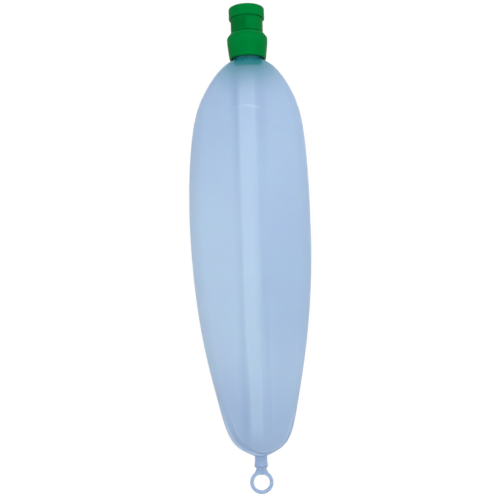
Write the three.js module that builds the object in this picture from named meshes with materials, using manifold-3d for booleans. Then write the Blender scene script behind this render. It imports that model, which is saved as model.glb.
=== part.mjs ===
// A silicone breathing bag on a 22 mm connector, hanging from the socket at its top.
// Millimetres, +Z up. The origin is the centre of the socket's mouth, and the bag hangs along -Z.
// The front and back of the flattened bag face -Y and +Y.
import * as THREE from "three";
import { mergeVertices } from "three/addons/utils/BufferGeometryUtils.js";
import Module from "manifold-3d";

// ---- Driving dimensions ----
const CLEARANCE = 0.3;

// Connector bushing: socket for a 22 mm cone, mouth bead, waist and barbed spigot.
const SOCKET_MOUTH_RADIUS = 11.2;
const SOCKET_DEPTH = 18;
const SOCKET_TAPER = 1 / 80; // radius lost per millimetre of depth: a 1:40 cone on the diameter
const SOCKET_LEAD_IN = 0.6;
const BEAD_RADIUS = 13.9;
const BEAD_HEIGHT = 8.3;
const BEAD_ROUNDING = 0.9;
const WAIST_RADIUS = 12.55;
const WAIST_BOTTOM = -20.6;
const SPIGOT_RADIUS = 8.9;
const SPIGOT_BORE_RADIUS = 7.6;
const SPIGOT_BOTTOM = -48;
const BARB_RADIUS = 9.4;
const BARB_LENGTH = 2.6;
const BARB_TOPS = [-24.5, -31, -43];

// Retaining collar: slides up the waist to free the neck.
const COLLAR_TOP = -19.9;
const COLLAR_BOTTOM = -39.7;
const COLLAR_BORE_RADIUS = WAIST_RADIUS + CLEARANCE;
const COLLAR_RADIUS = 15.9;
const COLLAR_SHOULDER_HEIGHT = 2.8;
const COLLAR_LIP_RADIUS = 14.3;
const COLLAR_LIP_ROUNDING = 0.8;

// Breathing bag: neck, flattened body and tail tube, all one moulding.
const NECK_TOP = -21.2;
const NECK_BEAD_RADIUS = 12.45;
const NECK_BEAD_LENGTH = 4;
const NECK_RADIUS = 10.9;
const NECK_BORE_RADIUS = BARB_RADIUS + CLEARANCE;
const BODY_TOP = -40.2;
const BODY_BOTTOM = -350.4;
const BODY_WALL = 1.3;
const CAVITY_FLOOR = -347.2;
const TAIL_RADIUS = 4.85;
const TAIL_BORE_RADIUS = 2.9;
const TAIL_LIP_RADIUS = 5.3;
const TAIL_BOTTOM = -358.2;
const BODY_STEPS = 34;

// Body outline, as [height, size] pairs. The width and the depth are measured from the bag's centre,
// and the lean is how far that centre bows to the side of the connector's axis.
const HALF_WIDTH = [
  [BODY_TOP, NECK_RADIUS],
  [-41.4, 13.7],
  [-44, 18],
  [-49, 23.4],
  [-60, 31.2],
  [-78, 39.6],
  [-105, 44.7],
  [-155, 47.4],
  [-205, 46.4],
  [-255, 41.4],
  [-305, 32.1],
  [-332, 25.2],
  [-340, 21.1],
  [-345, 15.8],
  [-348.5, 9.2],
  [BODY_BOTTOM, TAIL_RADIUS],
];
const HALF_DEPTH = [
  [BODY_TOP, NECK_RADIUS],
  [-46, 14.6],
  [-82, 22.5],
  [-160, 27.5],
  [-240, 25.4],
  [-310, 17.6],
  [-345, 9.4],
  [BODY_BOTTOM, TAIL_RADIUS],
];
const LEAN = [
  [-46, 0],
  [-62, -0.6],
  [-90, -1.6],
  [-150, -2.3],
  [-220, -1.9],
  [-290, -1],
  [BODY_BOTTOM, 0],
];

// Tail plug: barbed stem, flange, neck and hanging ring.
const PLUG_BARB_RADIUS = TAIL_BORE_RADIUS - CLEARANCE;
const PLUG_CORE_RADIUS = 2.1;
const PLUG_TOP = -345.5;
const PLUG_BARB_TOPS = [-347.2, -352];
const PLUG_BARB_LENGTH = 2.4;
const PLUG_BARB_LAND = 0.8;
const FLANGE_TOP = TAIL_BOTTOM - CLEARANCE;
const FLANGE_RADIUS = 5.3;
const PLUG_NECK_RADIUS = 3.9;
const RING_CENTRE = -371.7;
const RING_RADIUS = 7.75;
const RING_WIRE_RADIUS = 1.42;
const RING_WEB_TOP = FLANGE_TOP - 1.6;
const RING_WEB_FOOT = RING_CENTRE + 6.6;
const RING_WEB_FOOT_HALF_WIDTH = 5.4;
const RING_WEB_HALF_DEPTH = 1.3;

// Segments around each lathed piece.
const ROUND_STEPS = 44;
const PLUG_STEPS = 20;
const BAG_STEPS = 36;

const wasm = await Module();
wasm.setup();

// ---- Helpers ----
function point(radius, height) {
  return new THREE.Vector2(radius, height);
}

// Points along a quarter circle from one angle to another, in degrees.
function roundedCorner(radius, height, size, from, to, steps = 3) {
  return Array.from({ length: steps + 1 }, (_, i) => {
    const angle = THREE.MathUtils.degToRad(from + ((to - from) * i) / steps);
    return point(radius + size * Math.cos(angle), height + size * Math.sin(angle));
  });
}

// Turns a profile about Z. The profile runs round the section with the material on its left.
function turned(profile, steps, closed = true) {
  const points = closed ? [...profile, profile[0].clone()] : profile;
  return new THREE.LatheGeometry(points, steps).rotateX(Math.PI / 2);
}

function solid(geometry) {
  const bare = geometry.clone();
  bare.deleteAttribute("normal");
  bare.deleteAttribute("uv");
  const merged = mergeVertices(bare, 1e-4);
  return new wasm.Manifold(
    new wasm.Mesh({
      numProp: 3,
      vertProperties: merged.attributes.position.array,
      triVerts: new Uint32Array(merged.index.array),
    }),
  );
}

function geometryOf(manifold) {
  const mesh = manifold.getMesh();
  const geometry = new THREE.BufferGeometry();
  geometry.setAttribute("position", new THREE.BufferAttribute(mesh.vertProperties, 3));
  geometry.setIndex(new THREE.BufferAttribute(mesh.triVerts, 1));
  geometry.computeVertexNormals();
  return geometry;
}

function part(name, geometry, color, roughness) {
  const material = new THREE.MeshStandardMaterial({ color, roughness, metalness: 0 });
  const mesh = new THREE.Mesh(geometry, material);
  mesh.name = name;
  return mesh;
}

// A smooth curve through [height, size] pairs, as a function of height.
function curveThrough(pairs) {
  const depths = pairs.map(([height]) => -height);
  const sizes = pairs.map(([, size]) => size);
  const curve = new THREE.CubicInterpolant(depths, sizes, 1);
  return (height) => {
    const depth = THREE.MathUtils.clamp(-height, depths[0], depths[depths.length - 1]);
    return curve.evaluate(depth)[0];
  };
}

// ---- Connector bushing ----
// One barb: a sloping lead at its lower end and a square back at its top.
function barb(top, radius, coreRadius, length) {
  return [
    point(coreRadius, top),
    point(radius, top),
    point(radius, top - length / 3),
    point(coreRadius, top - length),
  ];
}

function connectorBushing() {
  const socketFloorRadius = SOCKET_MOUTH_RADIUS - SOCKET_DEPTH * SOCKET_TAPER;
  const beadCorner = BEAD_RADIUS - BEAD_ROUNDING;
  const profile = [
    point(SOCKET_MOUTH_RADIUS + SOCKET_LEAD_IN, 0),
    point(SOCKET_MOUTH_RADIUS, -SOCKET_LEAD_IN),
    point(socketFloorRadius, -SOCKET_DEPTH),
    point(SPIGOT_BORE_RADIUS, -SOCKET_DEPTH),
    point(SPIGOT_BORE_RADIUS, SPIGOT_BOTTOM),
    point(SPIGOT_RADIUS - 0.4, SPIGOT_BOTTOM),
    point(SPIGOT_RADIUS, SPIGOT_BOTTOM + 0.6),
    ...BARB_TOPS.flatMap((top) => barb(top, BARB_RADIUS, SPIGOT_RADIUS, BARB_LENGTH)).reverse(),
    point(SPIGOT_RADIUS, WAIST_BOTTOM),
    point(WAIST_RADIUS, WAIST_BOTTOM),
    point(WAIST_RADIUS, -BEAD_HEIGHT - BEAD_ROUNDING),
    ...roundedCorner(beadCorner, -BEAD_HEIGHT + BEAD_ROUNDING, BEAD_ROUNDING, -90, 0),
    ...roundedCorner(beadCorner, -BEAD_ROUNDING, BEAD_ROUNDING, 0, 90),
  ];
  return part("connector_bushing", turned(profile, ROUND_STEPS), "#007d32", 0.5);
}

// ---- Retaining collar ----
function retainingCollar() {
  const lipCorner = COLLAR_LIP_RADIUS - COLLAR_LIP_ROUNDING;
  const profile = [
    point(COLLAR_BORE_RADIUS, COLLAR_TOP),
    point(COLLAR_BORE_RADIUS, COLLAR_BOTTOM),
    ...roundedCorner(lipCorner, COLLAR_BOTTOM + COLLAR_LIP_ROUNDING, COLLAR_LIP_ROUNDING, -90, 0),
    point(COLLAR_RADIUS, COLLAR_TOP - COLLAR_SHOULDER_HEIGHT - 1),
    point(COLLAR_RADIUS - 0.5, COLLAR_TOP - COLLAR_SHOULDER_HEIGHT),
    point(COLLAR_BORE_RADIUS + 0.4, COLLAR_TOP),
  ];
  return part("retaining_collar", turned(profile, ROUND_STEPS), "#007a30", 0.5);
}

// ---- Breathing bag ----
// Each section of the bag's wall is an ellipse: { width, depth, height, lean }.
function section(width, depth, height, lean = 0) {
  return { width, depth, height, lean };
}

function roundSection(radius, height) {
  return section(radius, radius, height);
}

// Sections of the body's outer face, close together at the shoulder and at the tail.
function bodySections() {
  const widthAt = curveThrough(HALF_WIDTH);
  const depthAt = curveThrough(HALF_DEPTH);
  const leanAt = curveThrough(LEAN);
  return Array.from({ length: BODY_STEPS + 1 }, (_, i) => {
    const share = (1 - Math.cos((Math.PI * i) / BODY_STEPS)) / 2;
    const height = THREE.MathUtils.lerp(BODY_TOP, BODY_BOTTOM, share);
    return section(widthAt(height), depthAt(height), height, leanAt(height));
  });
}

// The inner face lies one wall inside the outer face, square to it, down to the floor round the tail's bore.
function innerBodySections(outer) {
  const inner = outer.slice(1, -1).map((here, i) => {
    const above = outer[i];
    const below = outer[i + 2];
    const along = point(below.width - above.width, below.height - above.height).normalize();
    const inward = -along.y * BODY_WALL;
    return section(here.width - inward, here.depth - inward, here.height - along.x * BODY_WALL, here.lean);
  });
  return inner.filter(({ width, height }) => height > CAVITY_FLOOR && width > TAIL_BORE_RADIUS);
}

// Turns the sections as a round bag, then flattens each one to its depth and moves it by its lean.
function breathingBag() {
  const outer = bodySections();
  const inner = innerBodySections(outer);
  const sections = [
    roundSection(NECK_BORE_RADIUS, NECK_TOP),
    roundSection(NECK_BORE_RADIUS, BODY_TOP),
    ...inner,
    roundSection(TAIL_BORE_RADIUS, CAVITY_FLOOR),
    roundSection(TAIL_BORE_RADIUS, TAIL_BOTTOM),
    roundSection(TAIL_LIP_RADIUS, TAIL_BOTTOM),
    roundSection(TAIL_LIP_RADIUS, TAIL_BOTTOM + 0.8),
    roundSection(TAIL_RADIUS, TAIL_BOTTOM + 2.2),
    ...outer.reverse(),
    roundSection(NECK_RADIUS, NECK_TOP - NECK_BEAD_LENGTH - 1),
    roundSection(NECK_BEAD_RADIUS, NECK_TOP - NECK_BEAD_LENGTH),
    roundSection(NECK_BEAD_RADIUS, NECK_TOP - 0.6),
    roundSection(NECK_BEAD_RADIUS - 0.6, NECK_TOP),
  ];
  const geometry = turned(sections.map(({ width, height }) => point(width, height)), BAG_STEPS);
  const position = geometry.attributes.position;
  const rows = sections.length + 1;
  for (let i = 0; i < position.count; i += 1) {
    const { width, depth, lean } = sections[(i % rows) % sections.length];
    position.setX(i, position.getX(i) + lean);
    position.setY(i, (position.getY(i) * depth) / width);
  }
  geometry.computeVertexNormals();
  return part("breathing_bag", geometry, "#a5bede", 0.55);
}

// ---- Tail plug ----
function tailPlug() {
  const stemProfile = [
    point(0, RING_WEB_FOOT),
    point(PLUG_NECK_RADIUS - 1, RING_WEB_FOOT),
    point(PLUG_NECK_RADIUS, FLANGE_TOP - 1.8),
    point(FLANGE_RADIUS, FLANGE_TOP - 0.9),
    point(FLANGE_RADIUS, FLANGE_TOP),
    point(PLUG_CORE_RADIUS, FLANGE_TOP),
    ...PLUG_BARB_TOPS.toReversed().flatMap((top) => [
      point(PLUG_CORE_RADIUS, top - PLUG_BARB_LENGTH),
      point(PLUG_BARB_RADIUS, top - PLUG_BARB_LENGTH),
      point(PLUG_BARB_RADIUS, top - PLUG_BARB_LENGTH + PLUG_BARB_LAND),
      point(PLUG_CORE_RADIUS, top),
    ]),
    point(PLUG_CORE_RADIUS - 0.6, PLUG_TOP),
    point(0, PLUG_TOP),
  ];
  const ring = new THREE.TorusGeometry(RING_RADIUS, RING_WIRE_RADIUS, 10, 36);
  ring.rotateX(Math.PI / 2).translate(0, 0, RING_CENTRE);
  const web = new THREE.ExtrudeGeometry(webOutline(), { depth: 2 * RING_WEB_HALF_DEPTH, bevelEnabled: false });
  web.rotateX(Math.PI / 2).translate(0, RING_WEB_HALF_DEPTH, 0);
  const joined = solid(turned(stemProfile, PLUG_STEPS, false)).add(solid(ring)).add(solid(web));
  return part("tail_plug", geometryOf(joined), "#a9bfe0", 0.45);
}

// The flat web that widens from the plug's neck onto the ring, drawn in X and Z.
function webOutline() {
  const neckHalf = PLUG_NECK_RADIUS - 0.4;
  const outline = new THREE.Shape();
  outline.moveTo(-neckHalf, RING_WEB_TOP);
  outline.lineTo(-RING_WEB_FOOT_HALF_WIDTH, RING_WEB_FOOT);
  outline.absarc(0, RING_CENTRE, RING_RADIUS - 0.4, Math.PI * 0.72, Math.PI * 0.28, true);
  outline.lineTo(RING_WEB_FOOT_HALF_WIDTH, RING_WEB_FOOT);
  outline.lineTo(neckHalf, RING_WEB_TOP);
  return outline;
}

// ---- Assembly ----
const breathingBagAssembly = new THREE.Group();
breathingBagAssembly.add(connectorBushing());
breathingBagAssembly.add(retainingCollar());
breathingBagAssembly.add(breathingBag());
breathingBagAssembly.add(tailPlug());

export default breathingBagAssembly;
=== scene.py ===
"""A silicone breathing bag hanging from its green 22 mm connector, in a white studio.

The frame is the part's own: +Z runs up the connector's axis from the centre of the socket's mouth, X runs
across the flattened bag, and the bag's front faces -Y. Shapes are worked out in millimetres and made in
metres.
"""
import math

import bpy
import numpy as np
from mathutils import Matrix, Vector
from mathutils.bvhtree import BVHTree


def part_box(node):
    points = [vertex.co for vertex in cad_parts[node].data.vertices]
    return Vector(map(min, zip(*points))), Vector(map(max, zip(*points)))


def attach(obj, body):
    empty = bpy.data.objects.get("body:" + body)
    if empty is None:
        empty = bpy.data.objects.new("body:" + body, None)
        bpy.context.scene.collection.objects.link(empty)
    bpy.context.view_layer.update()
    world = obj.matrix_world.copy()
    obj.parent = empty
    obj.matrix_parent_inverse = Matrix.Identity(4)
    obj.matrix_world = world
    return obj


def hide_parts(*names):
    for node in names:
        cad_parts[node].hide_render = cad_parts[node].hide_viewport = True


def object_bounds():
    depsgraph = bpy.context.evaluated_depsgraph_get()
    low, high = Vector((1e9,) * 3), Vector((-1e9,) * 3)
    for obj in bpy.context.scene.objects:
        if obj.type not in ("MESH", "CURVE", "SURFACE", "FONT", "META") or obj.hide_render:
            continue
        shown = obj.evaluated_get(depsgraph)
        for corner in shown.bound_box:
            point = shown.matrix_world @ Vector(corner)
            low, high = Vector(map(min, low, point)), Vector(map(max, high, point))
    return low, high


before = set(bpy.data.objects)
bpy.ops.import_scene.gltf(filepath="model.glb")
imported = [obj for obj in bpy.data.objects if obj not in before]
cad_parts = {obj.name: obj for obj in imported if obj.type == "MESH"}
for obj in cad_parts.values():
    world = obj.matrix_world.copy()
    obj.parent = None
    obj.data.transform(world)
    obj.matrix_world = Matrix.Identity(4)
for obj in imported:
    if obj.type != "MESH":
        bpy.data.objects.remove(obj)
cad_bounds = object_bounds()

MM = 0.001
LOW, HIGH = 0, 1


def box_in_mm(node):
    return [np.array(corner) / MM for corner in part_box(node)]


BUSHING_BOX = box_in_mm("connector_bushing")
COLLAR_BOX = box_in_mm("retaining_collar")
BAG_BOX = box_in_mm("breathing_bag")
PLUG_BOX = box_in_mm("tail_plug")

# ---- Driving dimensions, in millimetres ----
# Connector bushing
SOCKET_MOUTH_RADIUS = 11.2
SOCKET_FLOOR = -18
SOCKET_FLOOR_RADIUS = 10.97
SOCKET_CHAMFER = 0.6
BEAD_RADIUS = BUSHING_BOX[HIGH][0]
BEAD_BOTTOM = -8.3
WAIST_RADIUS = 12.55
WAIST_FOOT_RADIUS = 11.9
WAIST_FOOT_TOP = -19.2
WAIST_BOTTOM = -20.6
SPIGOT_RADIUS = 8.9
SPIGOT_BORE_RADIUS = 7.6
SPIGOT_BOTTOM = BUSHING_BOX[LOW][2]
BARB_RADIUS = 9.4
BARB_LENGTH = 2.6
BARB_TOPS = [-24.5, -31, -43]

# Stipple on the waist: rows of small raised dots, in two opposite patches
STIPPLE_HEIGHT = 0.22
STIPPLES_AROUND = 32
STIPPLE_PITCH = 2.3
STIPPLE_SAMPLES = 10
STIPPLE_TOP = BEAD_BOTTOM - 1.2
STIPPLE_BOTTOM = WAIST_FOOT_TOP + 0.6
STIPPLE_FADE = 0.8
STIPPLE_PATCH_MIDDLE = math.radians(228)
STIPPLE_PATCH_EDGE = 0.4
# How tightly the painted shade keeps to the recesses between the stipple's dots
PIT_SHARPNESS = 3

# Retaining collar
COLLAR_TOP = COLLAR_BOX[HIGH][2]
COLLAR_BOTTOM = COLLAR_BOX[LOW][2]
COLLAR_RADIUS = COLLAR_BOX[HIGH][0]
COLLAR_BORE_RADIUS = 12.85
COLLAR_SHOULDER = COLLAR_TOP - 2.8
COLLAR_SHOULDER_BEVEL = (0.5, 1.0)  # inward and downward
COLLAR_SWELL = 5  # the height below the shoulder down to which the sleeve hardly tapers
COLLAR_SWELL_TAPER = 0.15
COLLAR_LIP_RADIUS = 14.3
COLLAR_RIM = 0.4

# Breathing bag
NECK_TOP = BAG_BOX[HIGH][2]
NECK_BEAD_RADIUS = 12.45
NECK_BEAD_LENGTH = 4
NECK_RADIUS = 10.9
NECK_BORE_RADIUS = 9.7
NECK_FLARE_RADIUS = 11.3
BODY_TOP = -40.7
BODY_BOTTOM = -350.4
BODY_WALL = 1.3
NECK_FLARE_TOP = BODY_TOP + 2.5
NECK_FLARE_BLEND = 2
NECK_BEAD_LEAD = 1
TAIL_RADIUS = 4.85
TAIL_BORE_RADIUS = 2.9
TAIL_LIP_RADIUS = 5.3
TAIL_LIP_LENGTH = 1
TAIL_LIP_LEAD = 1.6
TAIL_BOTTOM = BAG_BOX[LOW][2]
TAIL_BORE_TOP = BODY_BOTTOM + 3.2

# The body's mesh
BODY_STATIONS = 120
BODY_ROWS = 280
BODY_COLUMNS = 200
SMOOTHING_PASSES = 8
SMOOTHING_STRENGTHS = (0.5, -0.51)
FRONT_CROWDING = 0.4  # share by which the columns crowd together at the bag's front and back

# The body's moulded and slack features. A span is four heights from the top: where a feature starts, is full,
# starts to fade and ends.
RELIEF_SPAN = (-42, -60, -335, -350)
BAND_SPAN = (-46, -80, -320, -342)
BAND_MIDDLE = -2.1
BAND_HALF_WIDTH = 7
BAND_NARROWING = 2.2
BAND_HEIGHT = 0.5
LEFT_VALLEY_OFFSET = 2.6
LEFT_VALLEY_WIDTH = 2.6
LEFT_VALLEY_DEPTH = 0.4
RIGHT_VALLEY_OFFSET = 5
RIGHT_VALLEY_WIDTH = 4
RIGHT_VALLEY_DEPTH = 0.3
LOBE_START = 0.16
LOBE_END = 0.82
LOBE_DROP = 2.0
CREASE_GAP_RIGHT = 1.6  # how far inside the foot's outline the crease runs at the right
CREASE_GAP_LEFT = 6.0
CREASE_WIDTH = 0.7
OUTER_CREASE_GAP = 4.1
OUTER_CREASE_WIDTH = 0.6
OUTER_CREASE_SHARE = 0.6
RIDGE_FROM_CREASE = 1.5
RIDGE_WIDTH = 0.9
RIDGE_SHARE = 0.7
OUTER_RIDGE_GAP = 2.4
OUTER_RIDGE_SHARE = 1.3
FOLD_HEIGHT = 0.75
ARC_HEIGHT = 0.5
ARC_TOP = -80.8
ARC_SLOPE = -0.03
ARC_CURVE = -0.012
ARC_LINE_WIDTH = 0.6
ARC_ENDS = (11, 8)
ARC_FAINTEST = 0.4
ARC_STRONGEST_AT = 3
ARC_STRONG_WIDTH = 5
DENT_DEPTH = 0.25
DENT_START = (7.0, -92.0)
DENT_END = (40.0, -103.0)
DENT_WIDTH = 2.6
STREAK_SPAN = (-215, -255, -318, -338)
STREAKS = [(3.2, 0.6, 1), (8, 0.9, 1), (11.5, 1.2, -0.6)]  # place across, width and strength
WAVES = [(0.12, 13, 31, 0), (0.10, -23, 19, 1)]  # height, length across, length along and phase

# How much painted shade each feature puts into the body's blue, or painted highlight where it is below 0
TINT_PLAIN = 0.15
TINT_SHOULDER = 0.6
TINT_FOOT = 0.55
TINT_RIGHT_LOBE = 0.42
TINT_RIGHT_LOBE_SPAN = (-90, -190, -240, -300)
TINT_BAND = -0.04
TINT_BAND_BELOW_MIDDLE = -0.09
TINT_BAND_AT_FOOT = -0.2
TINT_BAND_SPAN = (-60, -85, -320, -342)
TINT_LEFT_VALLEY = 0.18
TINT_LEFT_VALLEY_AT_SHOULDER = 0.25
TINT_RIGHT_VALLEY = 0.2
TINT_DENT = 0.08
TINT_ARC = -0.8
TINT_SIDES = 0.2
TINT_STREAKS = 0.12
TINT_FOOT_RIM = 0.35
TINT_FOLDS = -0.6

# Painted teal in the silicone's colour, standing in for the green spigot seen through it and the shade under
# the collar: full over the spigot, and as a painted glow around its middle
SPIGOT_SHOWS = 0.9
SPIGOT_EDGE = (12, 7)
SPIGOT_FOOT = (-49, -44.5)
SPIGOT_GLOW_MIDDLE = -40
SPIGOT_GLOW_REACH = 20
SPIGOT_GLOW_STRETCH = 1.3
SPIGOT_GLOW_TOP = (-35.5, -38.5)

# Tail plug
PLUG_MIDDLE = (PLUG_BOX[LOW][0] + PLUG_BOX[HIGH][0]) / 2
PLUG_TOP = PLUG_BOX[HIGH][2]
PLUG_CORE_RADIUS = 2.1
PLUG_BARB_RADIUS = 2.6
PLUG_BARB_TOPS = [-347.2, -352]
PLUG_BARB_LEAD = 1.6
PLUG_BARB_LENGTH = 2.4
PLUG_CHAMFER = 0.6
FLANGE_TOP = TAIL_BOTTOM - 0.3
FLANGE_RADIUS = 5.3
FLANGE_RIM = 0.6
PLUG_NECK_RADIUS = 3.9
PLUG_NECK_TOP = FLANGE_TOP - 1.4
PLUG_NECK_FOOT_RADIUS = 1.5
RING_WIRE_RADIUS = 1.42
RING_RADIUS = (PLUG_BOX[HIGH][0] - PLUG_BOX[LOW][0]) / 2 - RING_WIRE_RADIUS
RING_CENTRE = PLUG_BOX[LOW][2] + RING_RADIUS + RING_WIRE_RADIUS
WEB_TOP = FLANGE_TOP - 0.9
WEB_BOTTOM = RING_CENTRE + 5.7
WEB_SPREAD = 3.4
WEB_CURVE = 2.2
WEB_HALF_DEPTH = 2.2
WEB_THINNING = 0.8
PLUG_VOXEL = 0.24

# Studio
FLOOR_DROP = 400  # far enough for the plug and the bag to be pulled down, and to be looked at from below
FLOOR_RADIUS = 900
FLOOR_BEND = 600
WALL_TOP = 1800
CAMERA_PLACE = (-0.00325, -0.50, -0.189)  # metres
CAMERA_ROLL = math.radians(1.9)
CAMERA_FIELD = math.radians(42.9)

OBJECT_MIDDLE = (cad_bounds[LOW] + cad_bounds[HIGH]) / 2

# ---- Colours ----
WHITE = (1, 1, 1)
BUSHING_GREEN = (0.0, 0.147, 0.026)
BUSHING_SHADE = (0.0, 0.127, 0.022)
COLLAR_GREEN = (0.0, 0.152, 0.027)
COLLAR_SHADE = (0.0, 0.132, 0.023)
# Painted shade between the raised stipple dots on the waist
PIT_PAINTED_SHADE = (0.0, 0.09, 0.015)
GREEN_GLINT = (0.0, 0.5, 0.2)
SILICONE_BLUE = (0.47, 0.645, 0.83)
SILICONE_CLOUD = (0.48, 0.61, 0.825)
# The body mixes toward this blue as painted shade; the tail tube and the neck take it in full
DEEP_BLUE_AND_PAINTED_SHADE = (0.32, 0.45, 0.68)
# Painted glow of the spigot through the silicone, with painted shade under the collar
PAINTED_SPIGOT_TEAL = (0.0, 0.205, 0.235)
PLUG_BLUE = (0.28, 0.38, 0.55)
PLUG_CLOUD = (0.25, 0.35, 0.52)


# ---- Shape helpers ----
def smoothstep(low, high, value):
    share = np.clip((value - low) / (high - low), 0, 1)
    return share * share * (3 - 2 * share)


def window(span, value):
    """1 amid the span and 0 outside it, with a soft rise and fall between its outer and inner values."""
    start, full, fading, end = span
    return smoothstep(start, full, value) * smoothstep(end, fading, value)


def swell(offset, width):
    """A soft rise of 1 where the offset is 0, dying away over about the width."""
    return np.exp(-((offset / width) ** 2))


def rounded(corners, steps=5):
    """A closed outline through (radius, height, rounding) corners, each one rounded off by its own amount."""
    outline = []
    for i, (radius, height, rounding) in enumerate(corners):
        corner = np.array([radius, height])
        if rounding == 0:
            outline.append(corner)
            continue
        before = np.array(corners[i - 1][:2]) - corner
        after = np.array(corners[(i + 1) % len(corners)][:2]) - corner
        start = corner + before / np.linalg.norm(before) * rounding
        end = corner + after / np.linalg.norm(after) * rounding
        for share in np.linspace(0, 1, steps):
            bend = 2 * share * (1 - share) * corner
            outline.append((1 - share) ** 2 * start + bend + share**2 * end)
    return np.array(outline)


def oval_rows(widths, depths, heights, leans, angles):
    """One oval row of points for each height, as an array of rows by columns by X, Y and Z."""
    across = leans[:, None] + widths[:, None] * np.cos(angles)
    through = depths[:, None] * np.sin(angles)
    up = heights[:, None] + 0 * angles
    return np.stack([across, through, up], axis=2)


def turned(outline, angles, lean=0.0):
    radii, heights = outline.T
    return oval_rows(radii, radii, heights, np.full(len(radii), lean), angles)


def even_angles(columns):
    return np.linspace(0, 2 * np.pi, columns, endpoint=False)


def normals_of(rows):
    """Outward normals of rows that run downward and round the piece."""
    along = np.gradient(rows, axis=0)
    around = np.roll(rows, -1, axis=1) - np.roll(rows, 1, axis=1)
    normals = np.cross(along, around)
    return normals / np.linalg.norm(normals, axis=2, keepdims=True)


def grid_mesh(name, rows, closed=True):
    """A closed mesh from rows of points: the last row joins the first, or a flat face caps each end."""
    count, columns, _ = rows.shape
    index = np.arange(count * columns).reshape(count, columns)
    upper = index if closed else index[:-1]
    lower = np.roll(index, -1, axis=0) if closed else index[1:]
    quads = [upper, np.roll(upper, -1, axis=1), np.roll(lower, -1, axis=1), lower]
    faces = np.stack(quads, axis=2).reshape(-1, 4).tolist()
    if not closed:
        faces += [index[0][::-1].tolist(), index[-1].tolist()]
    mesh = bpy.data.meshes.new(name)
    mesh.from_pydata((rows.reshape(-1, 3) * MM).tolist(), [], faces)
    mesh.validate()
    mesh.shade_smooth()
    piece = bpy.data.objects.new(name, mesh)
    bpy.context.scene.collection.objects.link(piece)
    face_outward(piece)
    return piece


def face_outward(piece):
    bpy.ops.object.select_all(action="DESELECT")
    piece.select_set(True)
    bpy.context.view_layer.objects.active = piece
    bpy.ops.object.mode_set(mode="EDIT")
    bpy.ops.mesh.select_all(action="SELECT")
    bpy.ops.mesh.normals_make_consistent(inside=False)
    bpy.ops.object.mode_set(mode="OBJECT")


def crisp_corners(piece):
    """Keeps the shading of flat stretches flat, so that only the rounded corners catch the light."""
    piece.modifiers.new("weighted normals", "WEIGHTED_NORMAL").keep_sharp = True


def store_share(piece, name, shares):
    """Puts a number on each vertex, for the piece's material to read."""
    attribute = piece.data.attributes.new(name, "FLOAT", "POINT")
    attribute.data.foreach_set("value", np.ravel(shares).astype(np.float32))


def apply_modifiers(piece):
    bpy.context.view_layer.update()
    shaped = piece.evaluated_get(bpy.context.evaluated_depsgraph_get())
    mesh = bpy.data.meshes.new_from_object(shaped)
    piece.modifiers.clear()
    piece.data = mesh


# ---- Material helpers ----
def plastic(name, colour, roughness):
    """A material with one Principled shader, ready for its texture nodes."""
    material = bpy.data.materials.new(name)
    material.use_nodes = True
    shader = material.node_tree.nodes["Principled BSDF"]
    shader.inputs["Base Color"].default_value = (*colour, 1)
    shader.inputs["Roughness"].default_value = roughness
    return material, shader


def add_node(material, kind, **settings):
    node = material.node_tree.nodes.new(kind)
    for name, value in settings.items():
        setattr(node, name, value)
    return node


def link(material, source, target):
    material.node_tree.links.new(source, target)


def noise_texture(material, scale, detail=3.0):
    """Noise fixed to the piece, in object coordinates. The scale counts features per metre."""
    place = add_node(material, "ShaderNodeTexCoord")
    noise = add_node(material, "ShaderNodeTexNoise")
    noise.inputs["Scale"].default_value = scale
    noise.inputs["Detail"].default_value = detail
    link(material, place.outputs["Object"], noise.inputs["Vector"])
    return noise.outputs["Fac"]


def remap(material, value, source, target):
    node = add_node(material, "ShaderNodeMapRange", clamp=True)
    node.inputs["From Min"].default_value, node.inputs["From Max"].default_value = source
    node.inputs["To Min"].default_value, node.inputs["To Max"].default_value = target
    link(material, value, node.inputs["Value"])
    return node.outputs["Result"]


def blend_colours(material, share, first, second):
    """Mixes from first to second by the share. Each one is a colour or another node's output."""
    mix = add_node(material, "ShaderNodeMix", data_type="RGBA")
    link(material, share, mix.inputs["Factor"])
    for socket, colour in ((mix.inputs[6], first), (mix.inputs[7], second)):
        if isinstance(colour, tuple):
            socket.default_value = (*colour, 1)
        else:
            link(material, colour, socket)
    return mix.outputs[2]


def add_bump(material, shader, height, strength, distance):
    bump = add_node(material, "ShaderNodeBump")
    bump.inputs["Strength"].default_value = strength
    bump.inputs["Distance"].default_value = distance
    link(material, height, bump.inputs["Height"])
    link(material, bump.outputs["Normal"], shader.inputs["Normal"])


def stored_share(material, name):
    """Reads the number that store_share has put on each vertex."""
    return add_node(material, "ShaderNodeAttribute", attribute_name=name).outputs["Fac"]


# ---- Materials ----
def green_moulding(name, light, dark, stippled=False):
    """Satin green moulding: slow colour changes, a fine skin, uneven gloss and, where stippled, painted shade
    in the recesses between the stipple's dots.
    """
    material, shader = plastic(name, light, 0.5)
    shader.inputs["Specular IOR Level"].default_value = 0.02
    shader.inputs["Specular Tint"].default_value = (*GREEN_GLINT, 1)
    patches = remap(material, noise_texture(material, 90), (0.35, 0.7), (0, 1))
    colour = blend_colours(material, patches, light, dark)
    if stippled:
        # Painted shade between the stipple's dots, read from the stored share
        colour = blend_colours(material, stored_share(material, "painted_pit_shade"), colour, PIT_PAINTED_SHADE)
    link(material, colour, shader.inputs["Base Color"])
    gloss = remap(material, noise_texture(material, 600), (0.3, 0.7), (0.42, 0.56))
    link(material, gloss, shader.inputs["Roughness"])
    add_bump(material, shader, noise_texture(material, 2600), 0.12, 0.0001)
    return material


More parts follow.
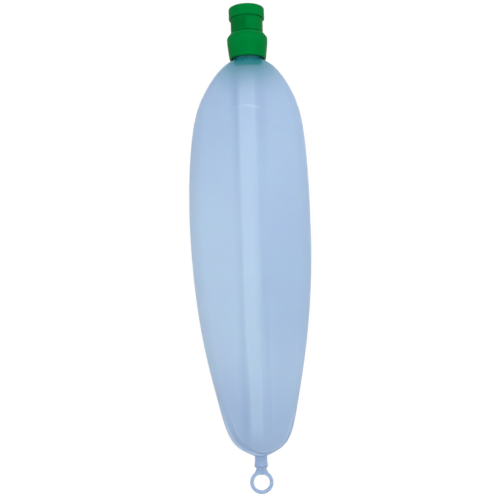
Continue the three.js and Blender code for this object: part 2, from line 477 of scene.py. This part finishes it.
def translucent_silicone(name, transmission, glow_reach, light, dark):
    """Frosted silicone: a tinted translucent body with a fine matt skin and faint clouds in its colour."""
    material, shader = plastic(name, light, 0.5)
    shader.inputs["IOR"].default_value = 1.41
    shader.inputs["Transmission Weight"].default_value = transmission
    shader.inputs["Subsurface Weight"].default_value = 0.6
    shader.inputs["Subsurface Radius"].default_value = (0.7, 0.85, 1.0)
    shader.inputs["Subsurface Scale"].default_value = glow_reach * MM
    gloss = remap(material, noise_texture(material, 160), (0.3, 0.7), (0.44, 0.56))
    link(material, gloss, shader.inputs["Roughness"])
    add_bump(material, shader, noise_texture(material, 1500), 0.10, 0.0002)
    clouds = remap(material, noise_texture(material, 55, detail=5.0), (0.3, 0.7), (0, 1))
    return material, shader, blend_colours(material, clouds, light, dark)


def bag_silicone():
    """The bag's silicone: painted shade and painted highlight in the body's blue, a deeper blue on the tail
    tube and the neck, and a painted teal glow over the spigot.
    """
    material, shader, cloudy = translucent_silicone(
        "bag_silicone", transmission=0.35, glow_reach=6, light=SILICONE_BLUE, dark=SILICONE_CLOUD
    )
    # Painted shade and painted highlight on the body, and the deeper blue of the tail and neck, from the
    # stored share
    with_painted_shade = blend_colours(material, stored_share(material, "depth"), cloudy, DEEP_BLUE_AND_PAINTED_SHADE)
    # Painted teal glow of the spigot seen through the silicone, with painted shade under the collar
    with_painted_glow = blend_colours(material, stored_share(material, "glow"), with_painted_shade, PAINTED_SPIGOT_TEAL)
    link(material, with_painted_glow, shader.inputs["Base Color"])
    return material


def plug_silicone():
    """The plug's silicone: a firmer, less clear grade."""
    material, shader, cloudy = translucent_silicone(
        "plug_silicone", transmission=0.05, glow_reach=2, light=PLUG_BLUE, dark=PLUG_CLOUD
    )
    link(material, cloudy, shader.inputs["Base Color"])
    return material


def white_backdrop():
    material, shader = plastic("white_backdrop", (0, 0, 0), 1.0)
    shader.inputs["Specular IOR Level"].default_value = 0
    shader.inputs["Emission Color"].default_value = (*WHITE, 1)
    shader.inputs["Emission Strength"].default_value = 1.0
    return material


# ---- Connector bushing ----
def barb_corners(top, radius, core, length):
    """A barb from its foot up: a sloping lead, a short land and a square back."""
    return [
        (core, top - length, 0.1),
        (radius, top - length / 3, 0.1),
        (radius, top, 0.12),
        (core, top, 0.1),
    ]


def bushing_outline():
    stippled = np.arange(STIPPLE_BOTTOM, STIPPLE_TOP + 0.4, STIPPLE_PITCH / STIPPLE_SAMPLES)
    barbs = [barb_corners(top, BARB_RADIUS, SPIGOT_RADIUS, BARB_LENGTH) for top in reversed(BARB_TOPS)]
    return rounded([
        (BEAD_RADIUS, 0, 0.9),
        (SOCKET_MOUTH_RADIUS + SOCKET_CHAMFER, 0, 0.2),
        (SOCKET_MOUTH_RADIUS, -SOCKET_CHAMFER, 0.2),
        (SOCKET_FLOOR_RADIUS, SOCKET_FLOOR, 0.5),
        (SPIGOT_BORE_RADIUS, SOCKET_FLOOR, 0.4),
        (SPIGOT_BORE_RADIUS, SPIGOT_BOTTOM, 0.3),
        (SPIGOT_RADIUS, SPIGOT_BOTTOM, 0.4),
        *[corner for barb in barbs for corner in barb],
        (SPIGOT_RADIUS, WAIST_BOTTOM, 0.4),
        (WAIST_FOOT_RADIUS, WAIST_BOTTOM, 0.25),
        (WAIST_FOOT_RADIUS, WAIST_FOOT_TOP, 0.1),
        (WAIST_RADIUS, WAIST_FOOT_TOP, 0.15),
        *[(WAIST_RADIUS, height, 0) for height in stippled],
        (WAIST_RADIUS, BEAD_BOTTOM, 0.2),
        (BEAD_RADIUS, BEAD_BOTTOM, 0.5),
    ])


def stipple(rows, angles):
    """How far the waist's face is stippled, in two patches that face each other, and the dots within them."""
    heights = rows[:, :1, 2]
    around = np.cos(STIPPLES_AROUND * angles)
    upward = np.cos(2 * np.pi * heights / STIPPLE_PITCH)
    dots = np.maximum(0, around * upward)
    patch = smoothstep(0, STIPPLE_PATCH_EDGE, np.cos(2 * (angles - STIPPLE_PATCH_MIDDLE)))
    span = (STIPPLE_BOTTOM, STIPPLE_BOTTOM + STIPPLE_FADE, STIPPLE_TOP - STIPPLE_FADE, STIPPLE_TOP)
    on_waist = window(span, heights)
    on_face = np.isclose(np.hypot(rows[..., 0], rows[..., 1]), WAIST_RADIUS, atol=0.01)
    field = patch * on_waist * on_face
    return field, field * dots


def connector_bushing():
    angles = even_angles(STIPPLES_AROUND * STIPPLE_SAMPLES)
    rows = turned(bushing_outline(), angles)
    field, dots = stipple(rows, angles)
    rows[..., :2] *= (1 + STIPPLE_HEIGHT * dots / WAIST_RADIUS)[..., None]
    piece = grid_mesh("green_bushing", rows)
    crisp_corners(piece)
    # Painted shade: the stipple patches darken between their raised dots
    store_share(piece, "painted_pit_shade", field * (1 - dots) ** PIT_SHARPNESS)
    green = green_moulding("bushing_green", BUSHING_GREEN, BUSHING_SHADE, stippled=True)
    piece.data.materials.append(green)
    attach(piece, "connector")
    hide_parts("connector_bushing")


# ---- Retaining collar ----
def retaining_collar():
    inward, downward = COLLAR_SHOULDER_BEVEL
    outline = rounded([
        (COLLAR_BORE_RADIUS, COLLAR_TOP, 0.15),
        (COLLAR_BORE_RADIUS, COLLAR_BOTTOM, 0.3),
        (COLLAR_LIP_RADIUS, COLLAR_BOTTOM, 0.9),
        (COLLAR_RADIUS - COLLAR_SWELL_TAPER, COLLAR_SHOULDER - COLLAR_SWELL, 2),
        (COLLAR_RADIUS, COLLAR_SHOULDER - downward, 0.9),
        (COLLAR_RADIUS - inward, COLLAR_SHOULDER, 0.5),
        (COLLAR_BORE_RADIUS + COLLAR_RIM, COLLAR_TOP, 0.15),
    ])
    piece = grid_mesh("green_collar", turned(outline, even_angles(160)))
    crisp_corners(piece)
    piece.data.materials.append(green_moulding("collar_green", COLLAR_GREEN, COLLAR_SHADE))
    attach(piece, "collar")
    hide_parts("retaining_collar")


# ---- Breathing bag ----
def body_stations():
    """Half width, half depth, height and lean of the body at many heights, felt from outside by rays."""
    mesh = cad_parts["breathing_bag"].data
    surface = BVHTree.FromPolygons([v.co for v in mesh.vertices], [p.vertices for p in mesh.polygons])
    outside = 1.0
    stations = []
    for share in (1 - np.cos(np.linspace(0, np.pi, BODY_STATIONS))) / 2:
        height = (BODY_TOP + (BODY_BOTTOM - BODY_TOP) * share) * MM
        left = surface.ray_cast(Vector((-outside, 0, height)), Vector((1, 0, 0)))[0].x
        right = surface.ray_cast(Vector((outside, 0, height)), Vector((-1, 0, 0)))[0].x
        middle = (left + right) / 2
        front = surface.ray_cast(Vector((middle, -outside, height)), Vector((0, 1, 0)))[0].y
        stations.append([(right - left) / 2, -front, height, middle])
    return np.array(stations) / MM


def body_sections():
    """The same four measures, evenly spaced along the body's side.

    Each pass smooths the solid's facets away and then swells the curve back, so that it doesn't shrink.
    """
    stations = body_stations()
    steps = np.linalg.norm(np.diff(stations[:, [0, 2]], axis=0), axis=1)
    along = np.concatenate([[0], np.cumsum(steps)])
    even = np.linspace(0, along[-1], BODY_ROWS)
    sections = np.stack([np.interp(even, along, measure) for measure in stations.T], axis=1)
    for _ in range(SMOOTHING_PASSES):
        for strength in SMOOTHING_STRENGTHS:
            middle = (sections[:-2] + sections[2:]) / 2
            sections[1:-1] += strength * (middle - sections[1:-1])
    return sections


def edge_gap(rows, sections):
    """How far inside the bag's flat outline each point lies, as the front is looked at.

    The outline closes under the foot, as if there were no tail tube.
    """
    widths, _, heights, leans = sections.T
    foot = np.linspace(-widths[-1], widths[-1], 12)
    outline = np.concatenate([
        np.stack([leans - widths, heights], axis=1),
        np.stack([leans + widths, heights], axis=1),
        np.stack([leans[-1] + foot, heights[-1] + 0 * foot], axis=1),
    ])
    flat = rows[..., [0, 2]]
    return np.array([np.linalg.norm(row[:, None] - outline, axis=2).min(axis=1) for row in flat])


def band_share(across, heights):
    """1 on the band down the middle of each face and 0 beside it. The band narrows toward the foot."""
    beside = across - BAND_MIDDLE
    half = BAND_HALF_WIDTH - BAND_NARROWING * smoothstep(-230, -320, heights)
    return smoothstep(-half - 1.0, -half + 1.0, beside) * smoothstep(half + 1.4, half - 1.4, beside)


def left_valley(across):
    return swell(across - BAND_MIDDLE + BAND_HALF_WIDTH + LEFT_VALLEY_OFFSET, LEFT_VALLEY_WIDTH)


def right_valley(across):
    return swell(across - BAND_MIDDLE - BAND_HALF_WIDTH - RIGHT_VALLEY_OFFSET, RIGHT_VALLEY_WIDTH)


def central_band(across, heights):
    """A low band down the middle of each face, with a narrow valley at its left and a broad one opposite."""
    valleys = LEFT_VALLEY_DEPTH * left_valley(across) + RIGHT_VALLEY_DEPTH * right_valley(across)
    return (BAND_HEIGHT * band_share(across, heights) - valleys) * window(BAND_SPAN, heights)


def flat_lobes(beside, sections):
    """The slack wall lies nearly flat from the band to near each edge."""
    share = np.abs(beside) / sections[:, :1]
    half = (LOBE_END - LOBE_START) / 2
    arch = np.clip((share - LOBE_START) * (LOBE_END - share), 0, None) / half**2
    return -LOBE_DROP * arch * sections[:, 1:2] / sections[:, 1].max()


def foot_folds(beside, heights, gap):
    """Creases, below 0, and ridges, above 0, along the foot's outline, with a second pair at the left."""
    leftward = smoothstep(14, -14, beside)
    ridged = smoothstep(-304, -326, heights)
    creased = smoothstep(-315, -337, heights)
    past = gap - CREASE_GAP_RIGHT - (CREASE_GAP_LEFT - CREASE_GAP_RIGHT) * leftward
    outer_crease = leftward * swell(gap - OUTER_CREASE_GAP, OUTER_CREASE_WIDTH)
    outer_ridge = leftward * swell(gap - OUTER_RIDGE_GAP, RIDGE_WIDTH)
    ridge = (1 - 0.6 * leftward) * swell(past - RIDGE_FROM_CREASE, RIDGE_WIDTH)
    creases = swell(past, CREASE_WIDTH) + OUTER_CREASE_SHARE * outer_crease
    return RIDGE_SHARE * (ridge + OUTER_RIDGE_SHARE * outer_ridge) * ridged - creases * creased


def shoulder_dent(across, heights):
    """1 along the middle of a long shallow dent that slants down over the right shoulder."""
    run = np.subtract(DENT_END, DENT_START)
    length = np.linalg.norm(run)
    right, up = across - DENT_START[0], heights - DENT_START[1]
    reach = (right * run[0] + up * run[1]) / length
    aside = (right * run[1] - up * run[0]) / length
    return swell(aside, DENT_WIDTH) * window((-6, 4, length - 10, length + 6), reach)


def moulded_arc(beside, heights):
    """1 on a thin raised line that arches over the band on the front of the bag."""
    line = ARC_TOP + ARC_SLOPE * beside + ARC_CURVE * beside**2
    strength = ARC_FAINTEST + (1 - ARC_FAINTEST) * swell(beside - ARC_STRONGEST_AT, ARC_STRONG_WIDTH)
    return strength * swell(heights - line, ARC_LINE_WIDTH) * smoothstep(*ARC_ENDS, np.abs(beside))


def painted_streaks(across, heights):
    """Fine painted lines down the skin at the band's right side: painted shade in the two darker ones and a
    painted highlight in the third, for the broad double valley there.
    """
    lines = sum(strength * swell(across - place, width) for place, width, strength in STREAKS)
    return lines * window(STREAK_SPAN, heights)


def softness(across, heights):
    """Slow, slight waves, as in a soft wall that hangs freely."""
    return sum(size * np.sin(across / wide + heights / tall + phase) for size, wide, tall, phase in WAVES)


def body_relief(rows, sections, folds):
    """How far each point of the body stands out from the smooth form."""
    across, through, heights = np.moveaxis(rows, 2, 0)
    beside = across - sections[:, 3:4]
    faces = smoothstep(0.3, 0.75, np.abs(through) / np.maximum(sections[:, 1:2], 1))
    front = (through < 0) * faces
    relief = (central_band(across, heights) + flat_lobes(beside, sections)) * faces
    relief += softness(across, heights) * window(RELIEF_SPAN, heights) + FOLD_HEIGHT * folds
    arc, dent = moulded_arc(beside, heights), shoulder_dent(across, heights)
    return relief + (ARC_HEIGHT * arc - DENT_DEPTH * dent) * front


def painted_shade_and_highlight(rows, sections, folds, gap):
    """Painted shade and painted highlight in the body's blue: 0 amid the faces and about 1 with painted shade
    in creases, valleys and the dent, along the sides, on the right lobe and toward the shoulder and the foot,
    and below 0 with painted highlight on the band, the moulded arc and the fold ridges.
    """
    across, through, heights = np.moveaxis(rows, 2, 0)
    beside = across - sections[:, 3:4]
    front = through < 0
    shoulder = smoothstep(-190, -45, heights)
    foot = smoothstep(-255, -330, heights)
    valley_top = TINT_LEFT_VALLEY_AT_SHOULDER * smoothstep(-100, -62, heights)
    band = TINT_BAND + TINT_BAND_BELOW_MIDDLE * smoothstep(-130, -230, heights) + TINT_BAND_AT_FOOT * foot
    # Painted shade deepens toward the shoulder and the foot
    depth = TINT_PLAIN + TINT_SHOULDER * shoulder + TINT_FOOT * foot
    # Painted shade on the right lobe, which the light reaches less
    depth += TINT_RIGHT_LOBE * smoothstep(-2, 5, across) * window(TINT_RIGHT_LOBE_SPAN, heights)
    depth += band * band_share(across, heights) * window(TINT_BAND_SPAN, heights)
    depth += (TINT_LEFT_VALLEY + valley_top) * left_valley(across)
    depth += TINT_RIGHT_VALLEY * smoothstep(-150, -90, heights) * right_valley(across)
    depth += TINT_DENT * shoulder_dent(across, heights) * front
    # Painted highlight along the moulded arc
    depth += TINT_ARC * moulded_arc(beside, heights) * front
    # Painted shade along the sides, where the wall turns away
    depth += TINT_SIDES * smoothstep(0.35, 0.05, np.abs(through) / sections[:, 1:2])
    # Painted shade and highlight in fine lines beside the band
    depth += TINT_STREAKS * painted_streaks(across, heights) * front
    # Painted shade along the foot's outline
    depth += TINT_FOOT_RIM * swell(gap, 2) * smoothstep(-330, -346, heights)
    # Painted highlight on the fold ridges and painted shade in the creases
    return depth + TINT_FOLDS * folds


def painted_spigot_glow(rows):
    """How much painted teal, for the green spigot seen through the silicone and the shade under the collar,
    goes on the neck and the shoulder.
    """
    across, _, heights = np.moveaxis(rows, 2, 0)
    over_it = smoothstep(*SPIGOT_EDGE, np.abs(across)) * smoothstep(*SPIGOT_FOOT, heights)
    distance = np.hypot(across / SPIGOT_GLOW_STRETCH, heights - SPIGOT_GLOW_MIDDLE)
    glow = SPIGOT_SHOWS * (over_it + swell(distance, SPIGOT_GLOW_REACH))
    return np.clip(glow, 0, 1) * smoothstep(*SPIGOT_GLOW_TOP, heights)


def neck_outline():
    """Up the outside of the neck, over its bead and down its bore, without its first point."""
    bead_bottom = NECK_TOP - NECK_BEAD_LENGTH
    outline = rounded([
        (NECK_FLARE_RADIUS, BODY_TOP, 0),
        (NECK_FLARE_RADIUS, BODY_TOP + 0.5, 0),
        (NECK_FLARE_RADIUS, NECK_FLARE_TOP, 0.8),
        (NECK_RADIUS, NECK_FLARE_TOP + NECK_FLARE_BLEND, 1),
        (NECK_RADIUS, bead_bottom - NECK_BEAD_LEAD, 0.5),
        (NECK_BEAD_RADIUS, bead_bottom, 0.4),
        (NECK_BEAD_RADIUS, NECK_TOP, 0.8),
        (NECK_BORE_RADIUS, NECK_TOP, 0.5),
        (NECK_BORE_RADIUS, BODY_TOP + 0.8, 0),
    ])
    return outline[1:]


def tail_outline():
    """Down the outside of the tail tube, over its lip and up its bore, without its first point."""
    outline = rounded([
        (TAIL_RADIUS, BODY_BOTTOM, 0),
        (TAIL_RADIUS, TAIL_BOTTOM + TAIL_LIP_LENGTH + TAIL_LIP_LEAD, 0.8),
        (TAIL_LIP_RADIUS, TAIL_BOTTOM + TAIL_LIP_LENGTH, 0.5),
        (TAIL_LIP_RADIUS, TAIL_BOTTOM, 0.35),
        (TAIL_BORE_RADIUS, TAIL_BOTTOM, 0.3),
        (TAIL_BORE_RADIUS, TAIL_BORE_TOP, 0),
    ])
    return outline[1:]


def has_room_inside(inner, sections):
    """Picks the rows of the inner wall above the tail tube's bore and below the neck's."""
    above_tail = (inner[..., 2] > TAIL_BORE_TOP + 0.2).all(axis=1)
    return above_tail & (sections[:, 0] > NECK_RADIUS + 0.5)


def breathing_bag():
    """The outer wall down to the tail tube, the tube's outside and bore, the inner wall up, and the neck."""
    even = even_angles(BODY_COLUMNS)
    angles = even + FRONT_CROWDING * np.sin(2 * even) / 2
    sections = body_sections()
    smooth = oval_rows(*sections.T, angles)
    gap = edge_gap(smooth, sections)
    folds = foot_folds(smooth[..., 0] - sections[:, 3:4], smooth[..., 2], gap)
    outward = normals_of(smooth)
    relief = body_relief(smooth, sections, folds)[..., None]
    outer = smooth + outward * relief
    inner = smooth + outward * (relief - BODY_WALL)
    roomy = has_room_inside(inner, sections)
    tail = turned(tail_outline(), angles)
    neck = turned(neck_outline(), angles)[::-1]
    rows = np.concatenate([outer, tail, inner[roomy][::-2], neck])
    piece = grid_mesh("silicone_bag", rows)
    # Painted shade and painted highlight for the body; the tail tube and the neck take the full deeper blue
    depth = painted_shade_and_highlight(smooth, sections, folds, gap)
    depths = [depth, np.ones(tail.shape[:2]), depth[roomy][::-2], np.ones(neck.shape[:2])]
    store_share(piece, "depth", np.concatenate(depths))
    # Painted teal glow and shade of the spigot inside the neck
    store_share(piece, "glow", painted_spigot_glow(rows))
    piece.data.materials.append(bag_silicone())
    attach(piece, "bag")
    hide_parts("breathing_bag")


# ---- Tail plug ----
def plug_stem():
    """The barbed stem, its flange and the neck under it."""
    barbs = []
    for top in PLUG_BARB_TOPS:
        barbs += [
            (PLUG_CORE_RADIUS, top),
            (PLUG_BARB_RADIUS, top - PLUG_BARB_LEAD),
            (PLUG_BARB_RADIUS, top - PLUG_BARB_LENGTH),
            (PLUG_CORE_RADIUS, top - PLUG_BARB_LENGTH),
        ]
    outline = np.array([
        (PLUG_CORE_RADIUS - PLUG_CHAMFER, PLUG_TOP),
        (PLUG_CORE_RADIUS, PLUG_TOP - PLUG_CHAMFER),
        *barbs,
        (PLUG_CORE_RADIUS, FLANGE_TOP),
        (FLANGE_RADIUS, FLANGE_TOP),
        (FLANGE_RADIUS, FLANGE_TOP - FLANGE_RIM),
        (PLUG_NECK_RADIUS, PLUG_NECK_TOP),
        (PLUG_NECK_FOOT_RADIUS, RING_CENTRE + RING_RADIUS),
    ])
    return grid_mesh("plug_stem", turned(outline, even_angles(72), PLUG_MIDDLE), closed=False)


def plug_web():
    """The flat web that spreads from the neck onto the ring's shoulders and ends inside the ring's wire."""
    heights = np.linspace(WEB_TOP, WEB_BOTTOM, 12)
    spread = np.linspace(0, 1, len(heights))
    widths = PLUG_NECK_RADIUS + WEB_SPREAD * spread**WEB_CURVE
    depths = WEB_HALF_DEPTH - WEB_THINNING * spread
    rows = oval_rows(widths, depths, heights, np.full(len(heights), PLUG_MIDDLE), even_angles(64))
    beside = np.minimum(np.abs(rows[..., 0] - PLUG_MIDDLE), RING_RADIUS)
    wire_heights = RING_CENTRE + np.sqrt(RING_RADIUS**2 - beside**2)
    rows[..., 2] = np.maximum(rows[..., 2], wire_heights)
    return grid_mesh("plug_web", rows, closed=False)


def plug_ring():
    wire = even_angles(24)
    radii = RING_RADIUS + RING_WIRE_RADIUS * np.cos(wire)
    outline = np.stack([radii, RING_WIRE_RADIUS * np.sin(wire)], axis=1)
    ring = turned(outline, even_angles(120))[..., [0, 2, 1]]
    return grid_mesh("plug_ring", ring + [PLUG_MIDDLE, 0, RING_CENTRE])


def moulded_together(name, forms):
    """Joins closed forms into one moulding with soft inner corners."""
    bpy.ops.object.select_all(action="DESELECT")
    for form in forms:
        form.select_set(True)
    bpy.context.view_layer.objects.active = forms[0]
    bpy.ops.object.join()
    piece = forms[0]
    piece.name = name
    piece.data.name = name
    remesh = piece.modifiers.new("one skin", "REMESH")
    remesh.mode = "VOXEL"
    remesh.voxel_size = PLUG_VOXEL * MM
    remesh.use_smooth_shade = True
    soften = piece.modifiers.new("soft corners", "SMOOTH")
    soften.factor = 0.5
    soften.iterations = 4
    apply_modifiers(piece)
    return piece


def tail_plug():
    piece = moulded_together("silicone_plug", [plug_stem(), plug_web(), plug_ring()])
    piece.data.materials.clear()
    piece.data.materials.append(plug_silicone())
    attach(piece, "plug")
    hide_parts("tail_plug")


# ---- Studio ----
def studio_bowl():
    """A round white floor that curves up into a wall on every side."""
    floor = PLUG_BOX[LOW][2] - FLOOR_DROP
    turn = np.linspace(0, np.pi / 2, 12)
    bend_radii = FLOOR_RADIUS + FLOOR_BEND * np.sin(turn)
    bend_heights = floor + FLOOR_BEND * (1 - np.cos(turn))
    bend = np.stack([bend_radii, bend_heights], axis=1)
    outline = np.array([(1, floor), *bend, (FLOOR_RADIUS + FLOOR_BEND, WALL_TOP)])
    bowl = grid_mesh("studio_floor", turned(outline, even_angles(96)), closed=False)
    bowl.data.materials.append(white_backdrop())
    bowl.visible_diffuse = False
    bowl.visible_glossy = False
    bowl.visible_shadow = False


def soft_box(name, place, size, power):
    """A square area light aimed at the middle of the object."""
    data = bpy.data.lights.new(name, "AREA")
    data.size = size
    data.energy = power
    light = bpy.data.objects.new(name, data)
    light.location = place
    light.rotation_euler = (OBJECT_MIDDLE - light.location).to_track_quat("-Z", "Y").to_euler()
    light.visible_camera = False
    bpy.context.scene.collection.objects.link(light)


def lighting():
    world = bpy.data.worlds.new("studio_air")
    world.use_nodes = True
    background = world.node_tree.nodes["Background"]
    background.inputs["Color"].default_value = (*WHITE, 1)
    background.inputs["Strength"].default_value = 1.0
    bpy.context.scene.world = world
    soft_box("key", Vector((0.15, -1.05, 0.35)), size=0.6, power=8)
    soft_box("back_light", Vector((0.2, 1.2, -0.1)), size=1.0, power=8)


def camera():
    """A camera half a metre in front of the bag, level with its middle and rolled a little."""
    data = bpy.data.cameras.new("camera")
    data.sensor_fit = "HORIZONTAL"
    data.angle = CAMERA_FIELD
    eye = bpy.data.objects.new("camera", data)
    eye.location = CAMERA_PLACE
    eye.rotation_euler = (math.radians(90), CAMERA_ROLL, 0)
    bpy.context.scene.collection.objects.link(eye)
    bpy.context.scene.camera = eye


bpy.context.scene.view_settings.view_transform = "Standard"
camera()
lighting()
studio_bowl()
connector_bushing()
retaining_collar()
breathing_bag()
tail_plug()
